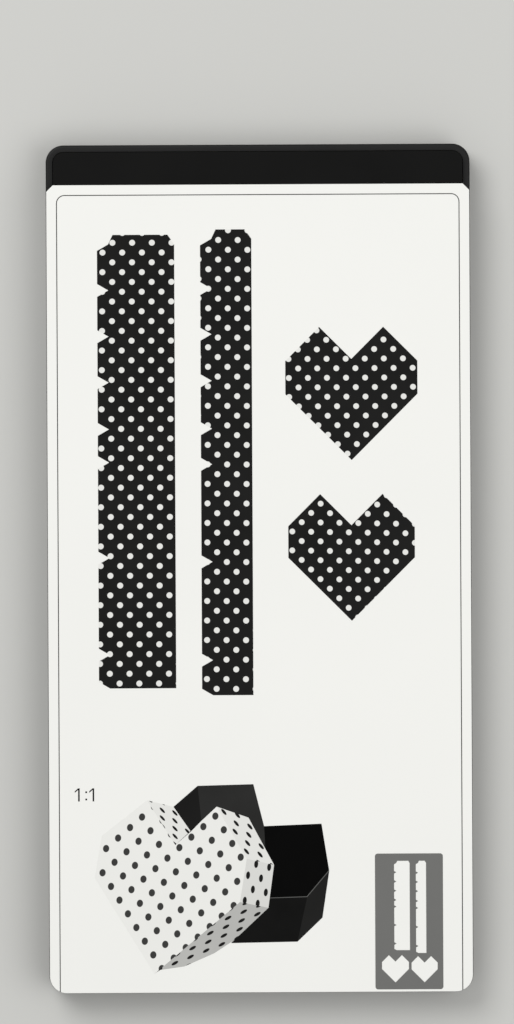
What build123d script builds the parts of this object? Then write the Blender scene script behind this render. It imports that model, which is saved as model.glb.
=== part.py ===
from build123d import *
import math
import os

# Steel rule die for card craft, lying on its back with its cutting face up.
# Millimetres. X runs across the die, Y along it towards its head, Z up from the table.
# The origin is the middle of the underside.

# Die plate
die_width = 152.4
die_length = 304.8
corner_radius = 6.35
casing_wall = 2.4
casing_floor = 1.6
casing_rim_radius = 0.8
casing_foot_chamfer = 0.5
least_corner_radius = 0.5
rim_below_blade = 1.0
board_thickness = 9.5
board_gap = 0.15

# Steel rule
rule_thickness = 0.71
cutting_rule_height = 13.0
creasing_rule_height = 12.2
bevel_angle = 20.0
blade_land = 0.06
crease_edge_radius = 0.3
slot_gap = 0.02
joint_gap = 0.1
joint_from_corner = 10.0
crease_stop = 3.0

# Bridges of board left across the slots, and the notches in the blades that straddle them
bridge_length = 8.0
bridge_notch_gap = 0.3
bridge_pitch = 52.0
shortest_bridged_edge = 20.0

# Ejection foam
foam_proud = 1.3
foam_gap = 0.4
foam_edge_gap = 0.3

# Heart-shaped box that the die cuts: the body heart, and the lid heart that fits over it
heart_inner_run = 14.6
heart_outer_run = 14.7
heart_side = 14.9
lid_clearance = 0.9
heart_foot_margin = 15.5
lid_heart_x = -31.2
body_heart_x = 34.2

# Side strips of the box: a wall, and along one edge of it a row of glue tabs
body_wall = 30.0
lid_wall = 18.0
tab_width = 5.0
notch_half_opening = 2.9
end_tab_length = 4.8
end_tab_near_taper = 2.1
end_tab_far_taper = 3.0
strip_head_margin = 16.5
body_strip_left = -33.4
lid_strip_left = 15.4

# Shape card, which rests on the foam with its foot at the foot of the die
card_thickness = 0.4
card_side_gap = 0.3
card_foot_gap = 0.3
card_head_setback = 14.5
card_head_chamfer = 2.3

# Print on the card, as thin films of ink
ink_thickness = 0.05
border_line = 0.3
border_inset = 3.5
border_radius = 3.0
layout_scale = 0.16
layout_right_margin = 10.6
layout_foot_margin = 0.8

# The strips and hearts printed on the card, at the sizes they are printed
print_tab = 4.0
print_notch_half_opening = 2.3
print_end_tab = 3.4
print_near_taper = 1.6
print_far_taper = 2.4
print_body_wall = 23.7
print_lid_wall = 14.4
print_body_panels = [16.5, 16.6, 16.5, 16.8, 11.9, 34.3, 34.8, 12.0]
print_lid_panels = [17.8, 16.4, 16.7, 17.2, 12.8, 35.0, 35.3, 12.6]
print_lid_heart = {"inner_run": 11.5, "outer_run": 12.2, "side": 11.9}
print_body_heart = {"inner_run": 11.2, "outer_run": 11.5, "side": 11.3}

# Places on the card, measured from its left edge and down from its head
print_body_strip_place = (18.1, 17.9)
print_lid_strip_place = (55.1, 16.1)
print_lid_heart_tip = (109.2, 99.1)
print_body_heart_tip = (109.0, 156.8)
box_picture_left = 37.5
box_picture_above_foot = 6.8

# The finished box pictured on the card: outlines measured from the tip of its lid
box_lid_outline = [
    (0, 0), (10.7, 2.6), (28.7, 12.0), (41.0, 23.5), (43.1, 38.9), (34.0, 55.9),
    (22.6, 59.9), (13.3, 51.0), (7.1, 59.9), (-2.4, 62.3), (-18.6, 49.7), (-21.3, 34.5),
]
box_body_outline = [
    (27.5, 10.9), (51.4, 11.3), (60.4, 19.9), (62.9, 36.8), (60.2, 53.6),
    (39.6, 52.8), (35.8, 67.9), (15.8, 67.4), (6.8, 59.7),
]

# Heights of the stacked pieces
board_top = casing_floor + board_thickness
blade_tip = casing_floor + cutting_rule_height
casing_height = blade_tip - rim_below_blade
foam_top = blade_tip + foam_proud
card_top = foam_top + card_thickness
bevel_width = (rule_thickness - blade_land) / 2
bevel_height = bevel_width / math.tan(math.radians(bevel_angle))

head_y = die_length / 2
foot_y = -die_length / 2
card_width = die_width - 2 * card_side_gap
card_foot_y = foot_y + card_foot_gap
card_head_y = head_y - card_head_setback


on_foot = (Align.CENTER, Align.CENTER, Align.MIN)


# Plane outlines

def polygon(points):
    return make_face(Polyline(*points, close=True))


def widened(face, amount):
    return offset(face, amount=amount, kind=Kind.INTERSECTION)


def die_outline(inset):
    """Outline of the die, drawn in all round by the inset."""
    radius = max(corner_radius - inset, least_corner_radius)
    return RectangleRounded(die_width - 2 * inset, die_length - 2 * inset, radius)


def heart_points(inner_run, outer_run, side, at):
    """Corners of a heart drawn with 45 degree edges, from its tip round to the right."""
    x, y = at
    lower_run = inner_run + outer_run
    shoulder = lower_run + side
    lobe = shoulder + outer_run
    right = [
        (lower_run, lower_run),
        (lower_run, shoulder),
        (inner_run, lobe),
    ]
    left = [(-px, py) for px, py in reversed(right)]
    points = [(0, 0)] + right + [(0, lobe - inner_run)] + left
    return [(x + px, y + py) for px, py in points]


def heart_panels(inner_run, outer_run, side):
    """Lengths of the walls that go round a heart, from its left shoulder."""
    inner = inner_run * math.sqrt(2)
    outer = outer_run * math.sqrt(2)
    lower = inner + outer
    return [outer, inner, inner, outer, side, lower, lower, side]


def strip_folds(panels, end_tab):
    """Distances of the folds from the head of a strip: the end tab's, then one at each notch."""
    return [end_tab + sum(panels[:count]) for count in range(len(panels))]


def strip_points(panels, wall, tab, notch, end_tab, near_taper, far_taper, at):
    """Corners of a side strip whose head end has its left corner at the given place."""
    x, y = at
    width = tab + wall
    length = end_tab + sum(panels)
    folds = strip_folds(panels, end_tab)
    points = [
        (tab + near_taper, 0),
        (width - far_taper, 0),
        (width, -end_tab),
        (width, -length),
        (tab, -length),
        (0, notch - length),
    ]
    for fold in reversed(folds[1:]):
        points += [(0, -fold - notch), (tab, -fold), (0, notch - fold)]
    points += [(0, -end_tab - notch), (tab, -end_tab)]
    return [(x + px, y + py) for px, py in points]


# The four blanks that the die cuts

lid_heart = {
    "inner_run": heart_inner_run,
    "outer_run": heart_outer_run + lid_clearance,
    "side": heart_side + 2 * lid_clearance * math.tan(math.radians(22.5)),
}
body_heart = {
    "inner_run": heart_inner_run,
    "outer_run": heart_outer_run,
    "side": heart_side,
}
strip_head_y = head_y - strip_head_margin
heart_tip_y = foot_y + heart_foot_margin


def blank_strip(heart, wall, left):
    return strip_points(
        heart_panels(**heart),
        wall,
        tab_width,
        notch_half_opening,
        end_tab_length,
        end_tab_near_taper,
        end_tab_far_taper,
        (left, strip_head_y),
    )


blanks = {
    "wide_strip": blank_strip(body_heart, body_wall, body_strip_left),
    "narrow_strip": blank_strip(lid_heart, lid_wall, lid_strip_left),
    "large_heart": heart_points(**lid_heart, at=(lid_heart_x, heart_tip_y)),
    "small_heart": heart_points(**body_heart, at=(body_heart_x, heart_tip_y)),
}


def crease_lines(heart, wall, left):
    """Ends of the creases of a strip: across it at each fold, and along the tabs between folds."""
    panels = heart_panels(**heart)
    folds = strip_folds(panels, end_tab_length)
    tab_x = left + tab_width
    across = []
    along = []
    for fold, panel in zip(folds, panels):
        y = strip_head_y - fold
        across.append(((tab_x + crease_stop, y), (tab_x + wall - crease_stop, y)))
        along.append(((tab_x, y - crease_stop), (tab_x, y - panel + crease_stop)))
    return {"cross": across, "tab": along}


creases = {
    "wide_strip": crease_lines(body_heart, body_wall, body_strip_left),
    "narrow_strip": crease_lines(lid_heart, lid_wall, lid_strip_left),
}


# Steel rules

def along_edge(start, end, distance):
    """A place on the line from start to end, turned to run along it."""
    angle = math.atan2(end[1] - start[1], end[0] - start[0])
    x = start[0] + distance * math.cos(angle)
    y = start[1] + distance * math.sin(angle)
    return Pos(x, y) * Rot(0, 0, math.degrees(angle))


def bridge_places(points):
    """Middles of the bridges, evenly spaced on each long edge of an outline."""
    places = []
    for start, end in zip(points, points[1:] + points[:1]):
        edge = math.dist(start, end)
        if edge < shortest_bridged_edge:
            continue
        count = max(1, round(edge / bridge_pitch))
        for number in range(count):
            places.append(along_edge(start, end, edge * (number + 0.5) / count))
    return places


def longest_edge(points):
    edges = zip(points, points[1:] + points[:1])
    return max(edges, key=lambda edge: math.dist(*edge))


def cutting_rule(points):
    """A blade bent round an outline: bevelled on both sides, notched over the bridges."""
    outline = polygon(points)
    half = rule_thickness / 2
    rule = extrude(widened(outline, half) - widened(outline, -half), cutting_rule_height)
    top = rule.faces().sort_by(Axis.Z)[-1]
    rule = chamfer(top.edges(), length=bevel_width, length2=bevel_height, reference=top)
    notch_length = bridge_length + 2 * bridge_notch_gap
    notch = Box(notch_length, 3 * rule_thickness, board_thickness + bridge_notch_gap, align=on_foot)
    joint = Box(joint_gap, 3 * rule_thickness, cutting_rule_height, align=on_foot)
    start, end = longest_edge(points)
    rule -= [place * notch for place in bridge_places(points)]
    rule -= along_edge(start, end, joint_from_corner) * joint
    return Pos(0, 0, casing_floor) * rule


def creasing_rule(start, end):
    """A straight rule with its top edge rounded over."""
    length = math.dist(start, end)
    rule = Box(length, rule_thickness, creasing_rule_height, align=(Align.MIN, Align.CENTER, Align.MIN))
    top_edges = rule.edges().filter_by(Axis.X).group_by(Axis.Z)[-1]
    rule = fillet(top_edges, radius=crease_edge_radius)
    return Pos(0, 0, casing_floor) * along_edge(start, end, 0) * rule


def crease_slot(start, end, gap):
    """Plane outline of the slot round a creasing rule."""
    length = math.dist(start, end)
    outline = Rectangle(length + 2 * gap, rule_thickness + 2 * gap)
    return along_edge(start, end, length / 2) * outline


# Casing, board and foam

def casing():
    tray = extrude(die_outline(0), casing_height)
    tray = fillet(tray.edges().group_by(Axis.Z)[-1], radius=casing_rim_radius)
    tray = chamfer(tray.edges().group_by(Axis.Z)[0], length=casing_foot_chamfer)
    return tray - Pos(0, 0, casing_floor) * extrude(die_outline(casing_wall), casing_height)


def all_creases():
    lines = []
    for sets in creases.values():
        lines += sets["cross"] + sets["tab"]
    return lines


def core_board():
    half_slot = rule_thickness / 2 + slot_gap
    bridge = Box(bridge_length, 3 * rule_thickness, board_thickness, align=on_foot)
    board = extrude(die_outline(casing_wall + board_gap), board_thickness)
    for points in blanks.values():
        outline = polygon(points)
        slot = extrude(widened(outline, half_slot) - widened(outline, -half_slot), board_thickness)
        board -= slot - [place * bridge for place in bridge_places(points)]
    for start, end in all_creases():
        board -= extrude(crease_slot(start, end, slot_gap), board_thickness)
    return Pos(0, 0, casing_floor) * board


def foam_pad(outline):
    return Pos(0, 0, board_top) * extrude(outline, foam_top - board_top)


def field_foam():
    outline = die_outline(casing_wall + foam_edge_gap)
    for points in blanks.values():
        outline -= widened(polygon(points), rule_thickness / 2 + foam_gap)
    return foam_pad(outline)


def infill_foam(name):
    outline = widened(polygon(blanks[name]), -rule_thickness / 2 - foam_gap)
    for lines in creases.get(name, {}).values():
        for start, end in lines:
            outline -= crease_slot(start, end, foam_gap)
    return foam_pad(outline)


# Shape card and its print

def card_outline():
    middle_y = (card_head_y + card_foot_y) / 2
    sheet = Pos(0, middle_y) * Rectangle(card_width, card_head_y - card_foot_y)
    corners = sheet.vertices().group_by(Axis.Y)
    sheet = chamfer(corners[-1], length=card_head_chamfer)
    return fillet(sheet.vertices().group_by(Axis.Y)[0], radius=corner_radius - card_side_gap)


def on_card(from_left, from_head):
    return (from_left - card_width / 2, card_head_y - from_head)


def ink(outline):
    return Pos(0, 0, card_top) * extrude(outline, ink_thickness)


def border_outline(inset, radius):
    """Everything inside the border line, which runs off the foot of the card."""
    width = card_width - 2 * inset
    top = card_head_y - inset
    bottom = card_foot_y - inset
    panel = Pos(0, (top + bottom) / 2) * Rectangle(width, top - bottom)
    return fillet(panel.vertices().group_by(Axis.Y)[-1], radius=radius)


def print_border():
    line = border_outline(border_inset, border_radius)
    line -= border_outline(border_inset + border_line, border_radius - border_line)
    return ink(line & card_outline())


def print_strip(panels, wall, place):
    points = strip_points(
        panels,
        wall,
        print_tab,
        print_notch_half_opening,
        print_end_tab,
        print_near_taper,
        print_far_taper,
        on_card(*place),
    )
    return ink(polygon(points))


def print_heart(heart, tip):
    return ink(polygon(heart_points(**heart, at=on_card(*tip))))


def print_layout():
    """The die drawn small, with its four blanks left blank in the field."""
    plan = die_outline(0)
    for points in blanks.values():
        plan -= polygon(points)
    width = die_width * layout_scale
    length = die_length * layout_scale
    x = card_width / 2 - layout_right_margin - width / 2
    y = card_foot_y + layout_foot_margin + length / 2
    return ink(Pos(x, y) * scale(plan, by=layout_scale))


def print_box(outline):
    place = Pos(box_picture_left - card_width / 2, card_foot_y + box_picture_above_foot)
    return place * ink(outline)


# One file for each piece

pieces = {
    "base_casing": casing(),
    "core_board": core_board(),
    "field_foam": field_foam(),
    "shape_card": Pos(0, 0, foam_top) * extrude(card_outline(), card_thickness),
    "print_border_line": print_border(),
    "print_wide_strip": print_strip(print_body_panels, print_body_wall, print_body_strip_place),
    "print_narrow_strip": print_strip(print_lid_panels, print_lid_wall, print_lid_strip_place),
    "print_large_heart": print_heart(print_lid_heart, print_lid_heart_tip),
    "print_small_heart": print_heart(print_body_heart, print_body_heart_tip),
    "print_box_lid": print_box(polygon(box_lid_outline)),
    "print_box_body": print_box(polygon(box_body_outline) - polygon(box_lid_outline)),
    "print_layout_diagram": print_layout(),
}
for name, points in blanks.items():
    pieces[name + "_cutting_rule"] = cutting_rule(points)
    pieces[name + "_foam"] = infill_foam(name)
for name, sets in creases.items():
    for kind, lines in sets.items():
        for number, (start, end) in enumerate(lines, 1):
            pieces[f"{name}_{kind}_crease_{number}"] = creasing_rule(start, end)

os.makedirs("parts", exist_ok=True)
for name, piece in pieces.items():
    export_step(piece, f"parts/{name}.step")
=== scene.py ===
import math
import bmesh
import bpy
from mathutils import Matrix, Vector


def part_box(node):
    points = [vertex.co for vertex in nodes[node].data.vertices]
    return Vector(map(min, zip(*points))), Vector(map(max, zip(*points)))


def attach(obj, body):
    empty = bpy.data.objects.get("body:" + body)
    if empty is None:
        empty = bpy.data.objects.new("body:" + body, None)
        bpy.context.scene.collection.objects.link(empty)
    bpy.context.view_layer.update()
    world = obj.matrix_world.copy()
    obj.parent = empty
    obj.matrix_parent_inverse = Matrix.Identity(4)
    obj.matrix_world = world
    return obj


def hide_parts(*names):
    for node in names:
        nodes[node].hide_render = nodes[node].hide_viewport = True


# Craft cutting die: a black slab with its printed white card on top, seen from straight above

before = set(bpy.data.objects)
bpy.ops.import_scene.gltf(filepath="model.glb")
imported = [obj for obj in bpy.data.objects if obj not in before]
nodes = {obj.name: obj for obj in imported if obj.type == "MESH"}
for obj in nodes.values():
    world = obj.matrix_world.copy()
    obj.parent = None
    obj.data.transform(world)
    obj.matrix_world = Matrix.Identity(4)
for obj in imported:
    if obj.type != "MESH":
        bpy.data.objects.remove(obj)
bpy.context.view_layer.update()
mm = 0.001
inkBottom, inkTop = (corner.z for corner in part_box("print_box_lid"))  # every field of ink is this thick
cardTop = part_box("shape_card")[1].z
print("frame loaded")


# Shader groups

def newGroup(name, inputs, outputs):
    group = bpy.data.node_groups.new(name, "ShaderNodeTree")
    for label, kind, value in inputs:
        socket = group.interface.new_socket(label, in_out="INPUT", socket_type=kind)
        socket.default_value = value
    for label, kind in outputs:
        group.interface.new_socket(label, in_out="OUTPUT", socket_type=kind)
    return group, group.nodes.new("NodeGroupInput"), group.nodes.new("NodeGroupOutput")


def mathNode(tree, operation, first, second=None):
    node = tree.nodes.new("ShaderNodeMath")
    node.operation = operation
    for index, value in enumerate((first, second)):
        if value is None:
            continue
        if isinstance(value, (int, float)):
            node.inputs[index].default_value = value
        else:
            tree.links.new(value, node.inputs[index])
    return node.outputs[0]


def vectorNode(tree, operation, first, second):
    node = tree.nodes.new("ShaderNodeVectorMath")
    node.operation = operation
    tree.links.new(first, node.inputs[0])
    tree.links.new(second, node.inputs[1])
    return node.outputs[0]


# A dot's size and the softness of its edge are shares of the step from dot to dot
dotStart = {"step": 3.5 * mm, "size": 0.21, "softness": 0.02}


def makeDotGroup():
    step = dotStart["step"]
    group, start, end = newGroup(
        "printedDots",
        [
            ("First Dot", "NodeSocketVector", (0, 0, 0)),
            ("Step Down Right", "NodeSocketVector", (step, -step, 0)),
            ("Step Down Left", "NodeSocketVector", (-step, -step, 0)),
            ("Dot Size", "NodeSocketFloat", dotStart["size"]),
            ("Edge Softness", "NodeSocketFloat", dotStart["softness"]),
        ],
        [("Dots", "NodeSocketFloat")],
    )
    place = group.nodes.new("ShaderNodeTexCoord").outputs["Object"]
    offset = vectorNode(group, "SUBTRACT", place, start.outputs["First Dot"])
    rightStep = start.outputs["Step Down Right"]
    leftStep = start.outputs["Step Down Left"]

    def areaBetween(first, second):
        cross = vectorNode(group, "CROSS_PRODUCT", first, second)
        split = group.nodes.new("ShaderNodeSeparateXYZ")
        group.links.new(cross, split.inputs[0])
        return split.outputs["Z"]

    # How many of each step lie between the first dot and this place
    whole = areaBetween(rightStep, leftStep)
    alongRight = mathNode(group, "DIVIDE", areaBetween(offset, leftStep), whole)
    alongLeft = mathNode(group, "DIVIDE", areaBetween(rightStep, offset), whole)
    half = 0.5
    squares = []
    for along in (alongRight, alongLeft):
        shifted = mathNode(group, "ADD", along, half)
        fromDot = mathNode(group, "SUBTRACT", mathNode(group, "FRACT", shifted), half)
        squares.append(mathNode(group, "MULTIPLY", fromDot, fromDot))
    distance = mathNode(group, "SQRT", mathNode(group, "ADD", *squares))
    inside = mathNode(group, "SUBTRACT", start.outputs["Dot Size"], distance)
    soft = mathNode(group, "DIVIDE", inside, start.outputs["Edge Softness"])
    clamp = group.nodes.new("ShaderNodeClamp")
    group.links.new(mathNode(group, "ADD", soft, half), clamp.inputs[0])
    group.links.new(clamp.outputs[0], end.inputs["Dots"])
    return group


grainStart = {"Grain Scale": 800.0, "Cloud Scale": 30.0, "Smoothest": 0.4, "Roughest": 0.6}
noiseDetail = {"Grain": 4.0, "Cloud": 5.0}
cloudRange = (0.3, 0.7)  # the part of the noise that goes from smoothest to roughest


def makeGrainGroup():
    group, start, end = newGroup(
        "fineGrain",
        [(label, "NodeSocketFloat", value) for label, value in grainStart.items()],
        [("Grain", "NodeSocketFloat"), ("Clouds", "NodeSocketFloat"), ("Roughness", "NodeSocketFloat")],
    )
    place = group.nodes.new("ShaderNodeTexCoord").outputs["Object"]
    noises = {}
    for label, detail in noiseDetail.items():
        noise = group.nodes.new("ShaderNodeTexNoise")
        noise.inputs["Detail"].default_value = detail
        group.links.new(place, noise.inputs["Vector"])
        group.links.new(start.outputs[label + " Scale"], noise.inputs["Scale"])
        noises[label] = noise.outputs[0]
    spread = group.nodes.new("ShaderNodeMapRange")
    spread.inputs["From Min"].default_value = cloudRange[0]
    spread.inputs["From Max"].default_value = cloudRange[1]
    group.links.new(noises["Cloud"], spread.inputs["Value"])
    group.links.new(start.outputs["Smoothest"], spread.inputs["To Min"])
    group.links.new(start.outputs["Roughest"], spread.inputs["To Max"])
    group.links.new(noises["Grain"], end.inputs["Grain"])
    group.links.new(noises["Cloud"], end.inputs["Clouds"])
    group.links.new(spread.outputs[0], end.inputs["Roughness"])
    return group


dotGroup = makeDotGroup()
grainGroup = makeGrainGroup()
print("shader groups made")


# Materials

warmth = 0.96  # share of blue in the greys


def grey(level):
    return (level, level, level * warmth, 1.0)


def startMaterial(name):
    material = bpy.data.materials.new(name)
    material.use_nodes = True
    tree = material.node_tree
    tree.nodes.clear()
    shader = tree.nodes.new("ShaderNodeBsdfPrincipled")
    output = tree.nodes.new("ShaderNodeOutputMaterial")
    tree.links.new(shader.outputs[0], output.inputs["Surface"])
    return material, tree, shader


def addGroup(tree, group, values):
    node = tree.nodes.new("ShaderNodeGroup")
    node.node_tree = group
    for label, value in values.items():
        node.inputs[label].default_value = value
    return node


def mixColours(tree, factor, first, second):
    mix = tree.nodes.new("ShaderNodeMix")
    mix.data_type = "RGBA"
    tree.links.new(factor, mix.inputs["Factor"])
    for socket, value in ((mix.inputs["A"], first), (mix.inputs["B"], second)):
        if isinstance(value, tuple):
            socket.default_value = value
        else:
            tree.links.new(value, socket)
    return mix.outputs["Result"]


def addBump(tree, shader, height, bump):
    node = tree.nodes.new("ShaderNodeBump")
    node.inputs["Strength"].default_value = bump["strength"]
    node.inputs["Distance"].default_value = bump["height"]
    tree.links.new(height, node.inputs["Height"])
    tree.links.new(node.outputs[0], shader.inputs["Normal"])


def cardPlace(point):
    return (point[0] * mm, point[1] * mm, 0.0)


def surface(name, look, dots=None):
    material, tree, shader = startMaterial(name)
    shader.inputs["Specular IOR Level"].default_value = look["shine"]
    grain = addGroup(tree, grainGroup, look["grain"])
    dark, light = (grey(level) for level in look["greys"])
    colour = mixColours(tree, grain.outputs["Clouds"], dark, light)
    if dots is not None:
        lattice = {
            "First Dot": cardPlace(dots["first"]),
            "Step Down Right": cardPlace(dots["right"]),
            "Step Down Left": cardPlace(dots["left"]),
            "Dot Size": dots["size"],
        }
        pattern = addGroup(tree, dotGroup, lattice)
        colour = mixColours(tree, pattern.outputs["Dots"], colour, grey(dots["grey"]))
    tree.links.new(colour, shader.inputs["Base Color"])
    tree.links.new(grain.outputs["Roughness"], shader.inputs["Roughness"])
    addBump(tree, shader, grain.outputs["Grain"], look["bump"])
    return material


# Bump heights are in metres
casingLook = {
    "greys": (0.004, 0.008),
    "grain": {"Grain Scale": 1600.0, "Cloud Scale": 22.0, "Smoothest": 0.36, "Roughest": 0.48},
    "bump": {"strength": 0.4, "height": 0.00004},
    "shine": 0.22,
}
foamLook = {
    "greys": (0.004, 0.008),
    "grain": {"Grain Scale": 2600.0, "Cloud Scale": 40.0, "Smoothest": 0.45, "Roughest": 0.6},
    "bump": {"strength": 0.5, "height": 0.00005},
    "shine": 0.05,
}
cardLook = {
    "greys": (0.85, 0.88),
    "grain": {"Grain Scale": 900.0, "Cloud Scale": 14.0, "Smoothest": 0.42, "Roughest": 0.52},
    "bump": {"strength": 0.12, "height": 0.00003},
    "shine": 0.3,
}
inkFinish = {
    "grain": {"Grain Scale": 1200.0, "Cloud Scale": 60.0, "Smoothest": 0.35, "Roughest": 0.5},
    "bump": {"strength": 0.1, "height": 0.00002},
    "shine": 0.03,
}


def ink(name, greys, dots=None):
    return surface(name, {"greys": greys, **inkFinish}, dots)


def stretchedNoise(tree, look):
    place = tree.nodes.new("ShaderNodeTexCoord").outputs["Object"]
    stretch = tree.nodes.new("ShaderNodeMapping")
    stretch.inputs["Scale"].default_value = look["perMetre"]
    tree.links.new(place, stretch.inputs["Vector"])
    noise = tree.nodes.new("ShaderNodeTexNoise")
    noise.inputs["Scale"].default_value = 1.0
    noise.inputs["Detail"].default_value = look["detail"]
    noise.inputs["Distortion"].default_value = look["distortion"]
    tree.links.new(stretch.outputs[0], noise.inputs["Vector"])
    return noise.outputs[0]


# Grinding marks run along the rules, so they are close together in height
steelLook = {
    "greys": (0.42, 0.6), "roughness": (0.22, 0.42),
    "perMetre": (60, 60, 6000), "detail": 3.0, "distortion": 0.0,
    "bump": {"strength": 0.2, "height": 0.00001},
}


def groundSteel():
    material, tree, shader = startMaterial("groundSteel")
    lines = stretchedNoise(tree, steelLook)
    dark, light = (grey(level) for level in steelLook["greys"])
    tree.links.new(mixColours(tree, lines, dark, light), shader.inputs["Base Color"])
    roughness = tree.nodes.new("ShaderNodeMapRange")
    roughness.inputs["To Min"].default_value = steelLook["roughness"][0]
    roughness.inputs["To Max"].default_value = steelLook["roughness"][1]
    tree.links.new(lines, roughness.inputs["Value"])
    tree.links.new(roughness.outputs[0], shader.inputs["Roughness"])
    shader.inputs["Metallic"].default_value = 1.0
    addBump(tree, shader, lines, steelLook["bump"])
    return material


# The wood's grain runs along the die's length
boardLook = {
    "brown": (0.45, 0.3, 0.16, 1.0), "pale": (0.66, 0.5, 0.32, 1.0), "roughness": 0.62,
    "perMetre": (420, 14, 700), "detail": 6.0, "distortion": 0.6,
    "bump": {"strength": 0.3, "height": 0.0001},
}


def birchBoard():
    material, tree, shader = startMaterial("birchPly")
    grain = stretchedNoise(tree, boardLook)
    wood = mixColours(tree, grain, boardLook["brown"], boardLook["pale"])
    tree.links.new(wood, shader.inputs["Base Color"])
    shader.inputs["Roughness"].default_value = boardLook["roughness"]
    addBump(tree, shader, grain, boardLook["bump"])
    return material


def dress(name, material):
    for slot in nodes[name].material_slots:
        slot.link = "OBJECT"
        slot.material = material


# White dots on black: the first dot's place and the two steps from dot to dot, in mm on the card
dottedFields = {
    "print_wide_strip": {"first": (-42.5, 36.3), "right": (3.502, -3.524), "left": (-3.578, -3.508)},
    "print_narrow_strip": {"first": (-7.9, 40.9), "right": (3.473, -3.533), "left": (-3.531, -3.473)},
    "print_large_heart": {"first": (34.87, 64.96), "right": (3.475, -3.404), "left": (-3.375, -3.412)},
    "print_small_heart": {"first": (32.09, 6.06), "right": (3.36, -3.455), "left": (-3.408, -3.316)},
}
whiteDots = {"size": 0.212, "grey": 0.78}
printGreys = {"dotted": (0.009, 0.016), "line": (0.008, 0.014), "diagram": (0.155, 0.172)}

for name, lattice in dottedFields.items():
    dress(name, ink(name + "_ink", printGreys["dotted"], {**lattice, **whiteDots}))
dress("print_border_line", ink("lineInk", printGreys["line"]))
dress("print_layout_diagram", ink("greyInk", printGreys["diagram"]))
dress("shape_card", surface("coatedCard", cardLook))
dress("base_casing", surface("mouldedCasing", casingLook))
dress("core_board", birchBoard())
foam = surface("closedCellFoam", foamLook)
steel = groundSteel()
for name in nodes:
    if name.endswith("_foam"):
        dress(name, foam)
    elif name.endswith("_cutting_rule") or "_crease_" in name:
        dress(name, steel)
print("frame pieces dressed")


# The pictured box, as flat fields of ink side by side

boxCorners = {
    # The lid's heart-shaped face, clockwise, then the open rim of its walls
    "leftLobe": (-40.8, -83.0),
    "notch": (-30.7, -99.1),
    "rightLobe": (-15.8, -85.4),
    "rightShoulder": (-5.1, -104.2),
    "rightFlank": (-7.6, -119.7),
    "tip": (-38.4, -145.3),
    "leftFlank": (-59.7, -110.8),
    "leftShoulder": (-57.0, -95.6),
    "rimLeftLobe": (-31.3, -85.4),
    "rimNotch": (-25.1, -94.3),
    "rimRightLobe": (-4.4, -89.4),
    "rimShoulder": (4.7, -106.4),
    "rimFlank": (2.6, -121.8),
    "rimLow": (-9.7, -133.3),
    "rimLower": (-16.9, -138.0),
    "rimLowest": (-27.7, -142.7),
    "rimTip": (-36.3, -143.9),
    # The body's back, its inside, the edge of its card, and its front and side
    "backLeft": (-22.6, -77.9),
    "backRight": (-2.6, -77.4),
    "backFold": (-21.3, -90.5),
    "insideLeft": (1.2, -92.5),
    "insideRight": (21.8, -91.7),
    "insideEast": (24.45, -108.3),
    "insideFront": (16.4, -117.75),
    "insideEnd": (3.1, -118.15),
    "insideLidEdge": (1.6, -100.6),
    "frontEnd": (3.1, -118.4),
    "frontFold": (16.55, -118.0),
    "sideEast": (24.5, -108.7),
    "footEast": (22.0, -125.4),
    "footFold": (13.0, -134.0),
    "footLeft": (-10.9, -134.4),
}

# Black dots on white, drawn out as each wall leans
blackDots = {"size": 0.214, "grey": 0.012}
lidFields = {
    "lidPictureFace": {
        "outline": (
            "leftLobe", "notch", "rightLobe", "rightShoulder",
            "rightFlank", "tip", "leftFlank", "leftShoulder",
        ),
        "greys": (0.8, 0.84),
        "dots": {"first": (-42.6, -89.0), "right": (3.01, -4.93), "left": (-4.32, -3.75), "grey": 0.045},
    },
    "lidPictureLeftWall": {
        "outline": ("leftLobe", "rimLeftLobe", "rimNotch", "notch"),
        "greys": (0.74, 0.79),
        "dots": {"first": (-30.8, -90.4), "right": (0.01, -2.8), "left": (4.51, -3.79)},
    },
    "lidPictureRightWall": {
        "outline": ("rightLobe", "rimRightLobe", "rimShoulder", "rightShoulder"),
        "greys": (0.74, 0.78),
        "dots": {"first": (-3.9, -92.6), "right": (-0.42, -2.97), "left": (4.45, -4.13)},
    },
    "lidPictureSideWall": {
        "outline": ("rightShoulder", "rimShoulder", "rimFlank", "rightFlank"),
        "greys": (0.66, 0.7),
        "dots": {"first": (-1.7, -106.1), "right": (1.7, -5.09), "left": (-2.94, -3.98)},
    },
    "lidPictureLowerWall": {
        "outline": ("rightFlank", "rimFlank", "rimLow", "rimLower", "rimLowest", "rimTip", "tip"),
        "greys": (0.42, 0.5),
        "dots": {"first": (-11.9, -125.4), "right": (-0.76, -3.14), "left": (-5.63, -2.23)},
    },
}
bodyFields = {
    "bodyPictureBackLeft": {
        "outline": ("rimLeftLobe", "backLeft", "backFold", "rimNotch"),
        "greys": (0.008, 0.014),
    },
    "bodyPictureBack": {
        "outline": (
            "backLeft", "backRight", "insideLeft", "insideLidEdge",
            "rimRightLobe", "rightLobe", "backFold",
        ),
        "greys": (0.018, 0.031),
    },
    "bodyPictureInside": {
        "outline": (
            "insideLeft", "insideRight", "insideEast", "insideFront",
            "insideEnd", "rimShoulder", "insideLidEdge",
        ),
        "greys": (0.001, 0.002),
    },
    "bodyPictureRim": {
        "outline": ("insideEnd", "insideFront", "insideEast", "sideEast", "frontFold", "frontEnd"),
        "greys": (0.08, 0.14),
    },
    "bodyPictureFront": {
        "outline": ("frontEnd", "frontFold", "footFold", "footLeft", "rimLow", "rimFlank"),
        "greys": (0.004, 0.009),
    },
    "bodyPictureSide": {
        "outline": ("frontFold", "sideEast", "footEast", "footFold"),
        "greys": (0.012, 0.018),
    },
}


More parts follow.
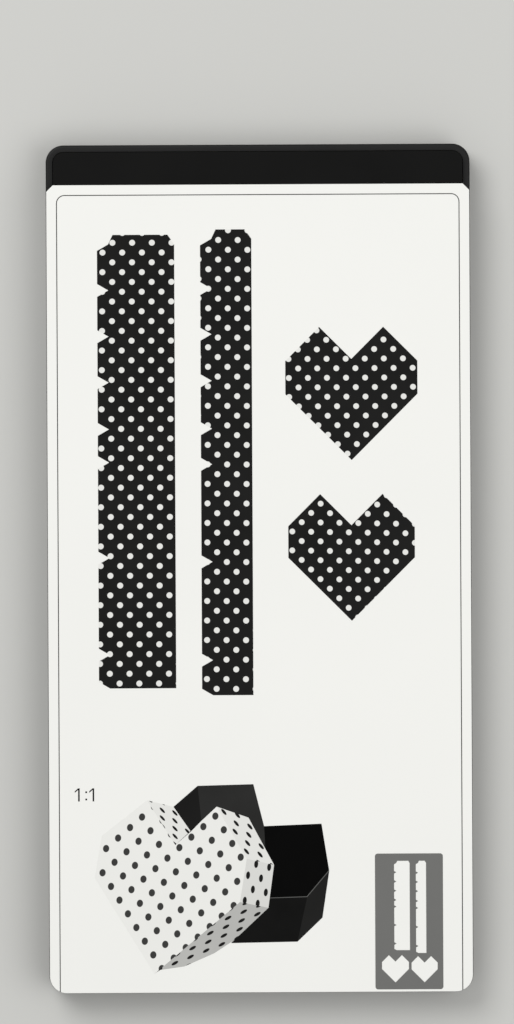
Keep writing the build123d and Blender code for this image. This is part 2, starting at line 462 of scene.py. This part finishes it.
def meshFrom(work, name):
    mesh = bpy.data.meshes.new(name)
    work.to_mesh(mesh)
    work.free()
    return mesh


def addObject(name, data):
    added = bpy.data.objects.new(name, data)
    bpy.context.scene.collection.objects.link(added)
    return added


def flatField(name, outline, material):
    work = bmesh.new()
    corners = [work.verts.new((x * mm, y * mm, inkBottom)) for x, y in outline]
    face = work.faces.new(corners)
    raised = bmesh.ops.extrude_face_region(work, geom=[face])
    top = [item for item in raised["geom"] if isinstance(item, bmesh.types.BMVert)]
    bmesh.ops.translate(work, vec=(0, 0, inkTop - inkBottom), verts=top)
    bmesh.ops.recalc_face_normals(work, faces=work.faces)
    mesh = meshFrom(work, name)
    mesh.materials.append(material)
    piece = addObject(name, mesh)
    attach(piece, "root")
    return piece


def pictureFields(fields, dotLook=None):
    pieces = []
    for name, field in fields.items():
        dots = {**dotLook, **field["dots"]} if dotLook else None
        material = ink(name + "Ink", field["greys"], dots)
        outline = [boxCorners[corner] for corner in field["outline"]]
        pieces.append(flatField(name, outline, material))
    return pieces


def lidPicture():
    pieces = pictureFields(lidFields, blackDots)
    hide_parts("print_box_lid")


def bodyPicture():
    pieces = pictureFields(bodyFields)
    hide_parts("print_box_body")


lidPicture()
bodyPicture()
print("pictured box laid down")


# Scale mark beside the picture: one to one, in plain figures, in mm on the card

scaleMark = {
    "ones": (-66.7, -61.5), "colon": -62.9, "low": -83.3, "high": -78.6,
    "figureWidth": 1.75, "stroke": 0.55, "flag": 1.05, "dot": 0.6, "dotHeights": (-82.9, -80.3),
    "greys": (0.006, 0.01),
}


def figureOne(left):
    mark = scaleMark
    right = left + mark["figureWidth"]
    stem = right - mark["stroke"]
    flagTop = mark["high"] - mark["flag"]
    return [
        (stem, mark["low"]), (right, mark["low"]), (right, mark["high"]), (stem, mark["high"]),
        (left, flagTop), (left, flagTop - mark["stroke"]), (stem, mark["high"] - mark["stroke"]),
    ]


def colonDot(low):
    left = scaleMark["colon"]
    right = left + scaleMark["dot"]
    high = low + scaleMark["dot"]
    return [(left, low), (right, low), (right, high), (left, high)]


def makeScaleMark():
    material = ink("textInk", scaleMark["greys"])
    for number, left in enumerate(scaleMark["ones"], 1):
        flatField("scaleMarkOne" + str(number), figureOne(left), material)
    for number, low in enumerate(scaleMark["dotHeights"], 1):
        flatField("scaleMarkDot" + str(number), colonDot(low), material)


makeScaleMark()
print("scale mark set")


# Floor, light and camera, in metres

floorLook = {"half": 3.0, "light": 0.6, "roughness": 0.9, "drop": 0.0002}


def clearFromBelow(tree, shader):
    clear = tree.nodes.new("ShaderNodeBsdfTransparent")
    sides = tree.nodes.new("ShaderNodeMixShader")
    output = next(node for node in tree.nodes if node.type == "OUTPUT_MATERIAL")
    tree.links.new(tree.nodes.new("ShaderNodeNewGeometry").outputs["Backfacing"], sides.inputs[0])
    tree.links.new(shader.outputs[0], sides.inputs[1])
    tree.links.new(clear.outputs[0], sides.inputs[2])
    tree.links.new(sides.outputs[0], output.inputs["Surface"])


def makeFloor():
    work = bmesh.new()
    bmesh.ops.create_grid(work, x_segments=1, y_segments=1, size=floorLook["half"])
    bmesh.ops.translate(work, vec=(0, 0, -floorLook["drop"]), verts=work.verts)
    mesh = meshFrom(work, "floor")
    piece = addObject("floor", mesh)
    material, tree, shader = startMaterial("paleFloor")
    shader.inputs["Base Color"].default_value = grey(floorLook["light"])
    shader.inputs["Roughness"].default_value = floorLook["roughness"]
    clearFromBelow(tree, shader)
    mesh.materials.append(material)


lampLook = {
    "key": {"place": (-0.7, 0.9, 1.6), "size": 1.2, "power": 17.0},
    "fill": {"place": (0.9, -0.3, 1.5), "size": 1.4, "power": 9.5},
}
worldLevel = 0.46


def makeLights():
    world = bpy.data.worlds.new("studio")
    world.use_nodes = True
    background = world.node_tree.nodes["Background"]
    background.inputs["Color"].default_value = (1.0, 1.0, 1.0, 1.0)
    background.inputs["Strength"].default_value = worldLevel
    bpy.context.scene.world = world
    for name, lamp in lampLook.items():
        light = bpy.data.lights.new(name, "AREA")
        light.shape = "DISK"
        light.size = lamp["size"]
        light.energy = lamp["power"]
        stand = addObject(name, light)
        stand.location = lamp["place"]
        stand.rotation_euler = (-Vector(lamp["place"])).to_track_quat("-Z", "Y").to_euler()


# The photograph is 514 wide and 1024 high, and 0.359 mm to the pixel on the card
view = {
    "height": 2.6, "tall": 0.3676, "centre": (-0.0008, 0.0203),
    "sensor": 24.0,  # mm
    "turn": 0.28,  # degrees
}


def makeCamera():
    camera = bpy.data.cameras.new("camera")
    camera.sensor_fit = "VERTICAL"
    camera.sensor_height = view["sensor"]
    camera.sensor_width = view["sensor"]
    camera.lens = view["sensor"] * view["height"] / view["tall"]
    stand = addObject("camera", camera)
    stand.location = (*view["centre"], cardTop + view["height"])
    stand.rotation_euler = (0, 0, math.radians(-view["turn"]))
    bpy.context.scene.camera = stand


makeFloor()
makeLights()
makeCamera()
bpy.context.scene.view_settings.view_transform = "Standard"
print("stage set")
